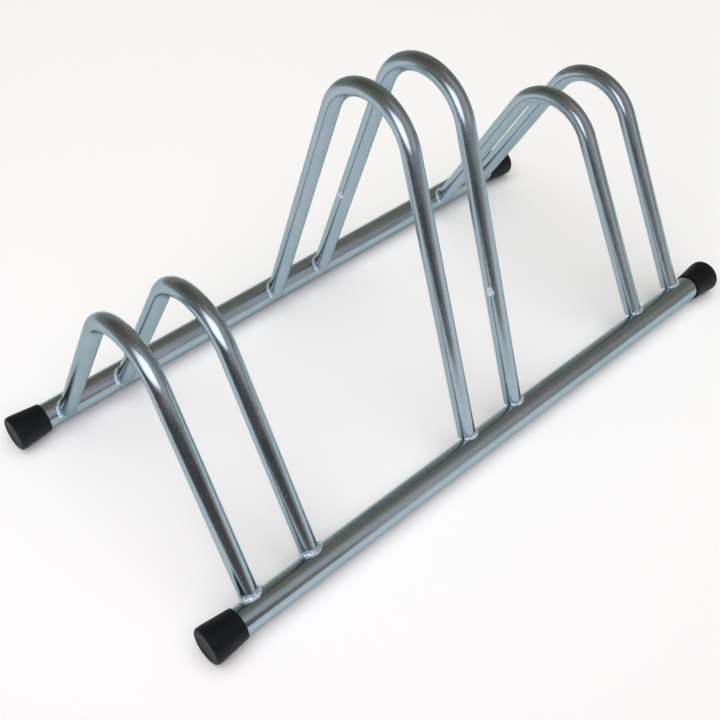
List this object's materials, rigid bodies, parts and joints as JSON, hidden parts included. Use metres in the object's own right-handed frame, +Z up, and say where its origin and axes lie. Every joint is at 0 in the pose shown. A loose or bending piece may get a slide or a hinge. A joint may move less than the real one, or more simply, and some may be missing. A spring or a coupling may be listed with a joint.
{
  "type": "floor bike rack",
  "caption": "Free-standing bicycle rack: bent tube hoops in pairs, low and tall, welded to two parallel base rails with rubber end caps.",
  "frame": {"origin": "on the floor, under the middle of the rack", "axes": "+X along the rails towards the end right of the picture's camera, +Y from the front rail to the rear rail, +Z up"},
  "size_m": [0.8, 0.3898, 0.392],
  "materials": {
    "zinc_plated_steel": "bright zinc plate, satin gloss with faint draw lines",
    "weld_metal": "zinc plated over a rough weld bead",
    "black_rubber": "moulded, soft sheen"
  },
  "bodies": {
    "root": {"front_rail": "zinc_plated_steel", "rear_rail": "zinc_plated_steel", "hoop_1": "zinc_plated_steel", "hoop_2": "zinc_plated_steel", "hoop_3": "zinc_plated_steel", "hoop_4": "zinc_plated_steel", "hoop_5": "zinc_plated_steel", "hoop_6": "zinc_plated_steel", "weld_front_1": "weld_metal", "weld_front_2": "weld_metal", "weld_front_3": "weld_metal", "weld_front_4": "weld_metal", "weld_front_5": "weld_metal", "weld_front_6": "weld_metal", "weld_rear_1": "weld_metal", "weld_rear_2": "weld_metal", "weld_rear_3": "weld_metal", "weld_rear_4": "weld_metal", "weld_rear_5": "weld_metal", "weld_rear_6": "weld_metal", "nub_front": "weld_metal", "nub_rear": "weld_metal", "cap_front_left": "black_rubber", "cap_front_right": "black_rubber", "cap_rear_left": "black_rubber", "cap_rear_right": "black_rubber"}
  },
  "joints": []
}
